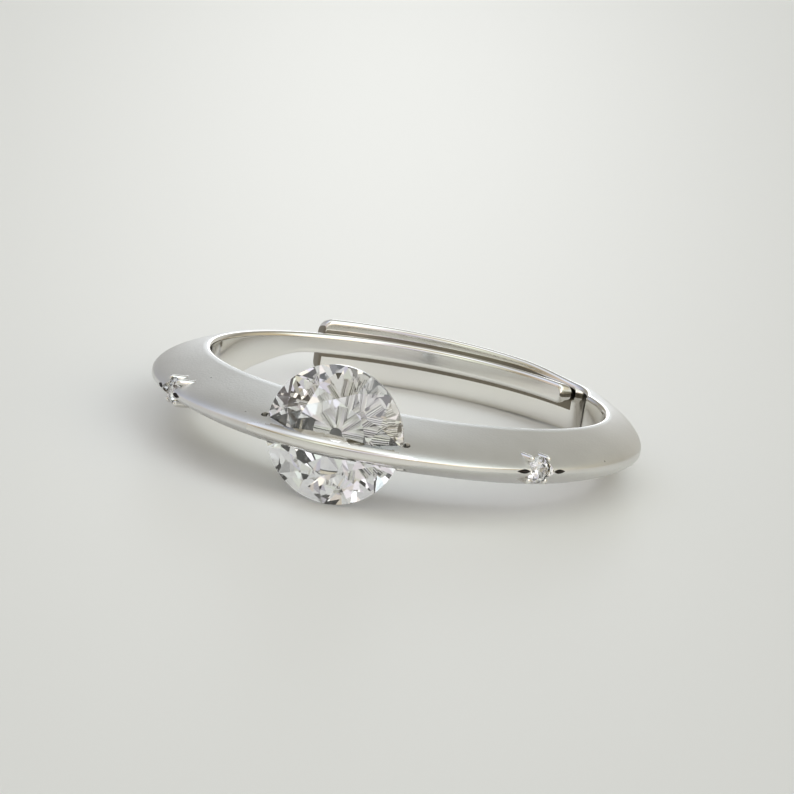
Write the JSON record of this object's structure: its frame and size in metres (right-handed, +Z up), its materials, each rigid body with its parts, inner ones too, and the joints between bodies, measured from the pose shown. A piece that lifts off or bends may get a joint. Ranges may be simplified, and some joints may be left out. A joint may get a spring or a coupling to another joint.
{
  "type": "knife-edge gemstone ring",
  "caption": "Open-back finger ring with a knife-edge band, a round brilliant set behind the bar of its ridge and small accent stones.",
  "frame": {"origin": "middle of the bounding box on the surface that the ring lies on", "axes": "+Z up from that surface, -Y towards the main stone, +X towards the side that ends in the outer strip"},
  "size_m": [0.02, 0.0222, 0.0055],
  "materials": {
    "silver": "matte rhodium-plated silver with a polished ridge, rim and inside",
    "clear_stone": "clear faceted stone, polished"
  },
  "bodies": {
    "root": {"band": "silver", "main_stone": "clear_stone", "accent_stone_left": "clear_stone", "accent_stone_right": "clear_stone"}
  },
  "joints": []
}
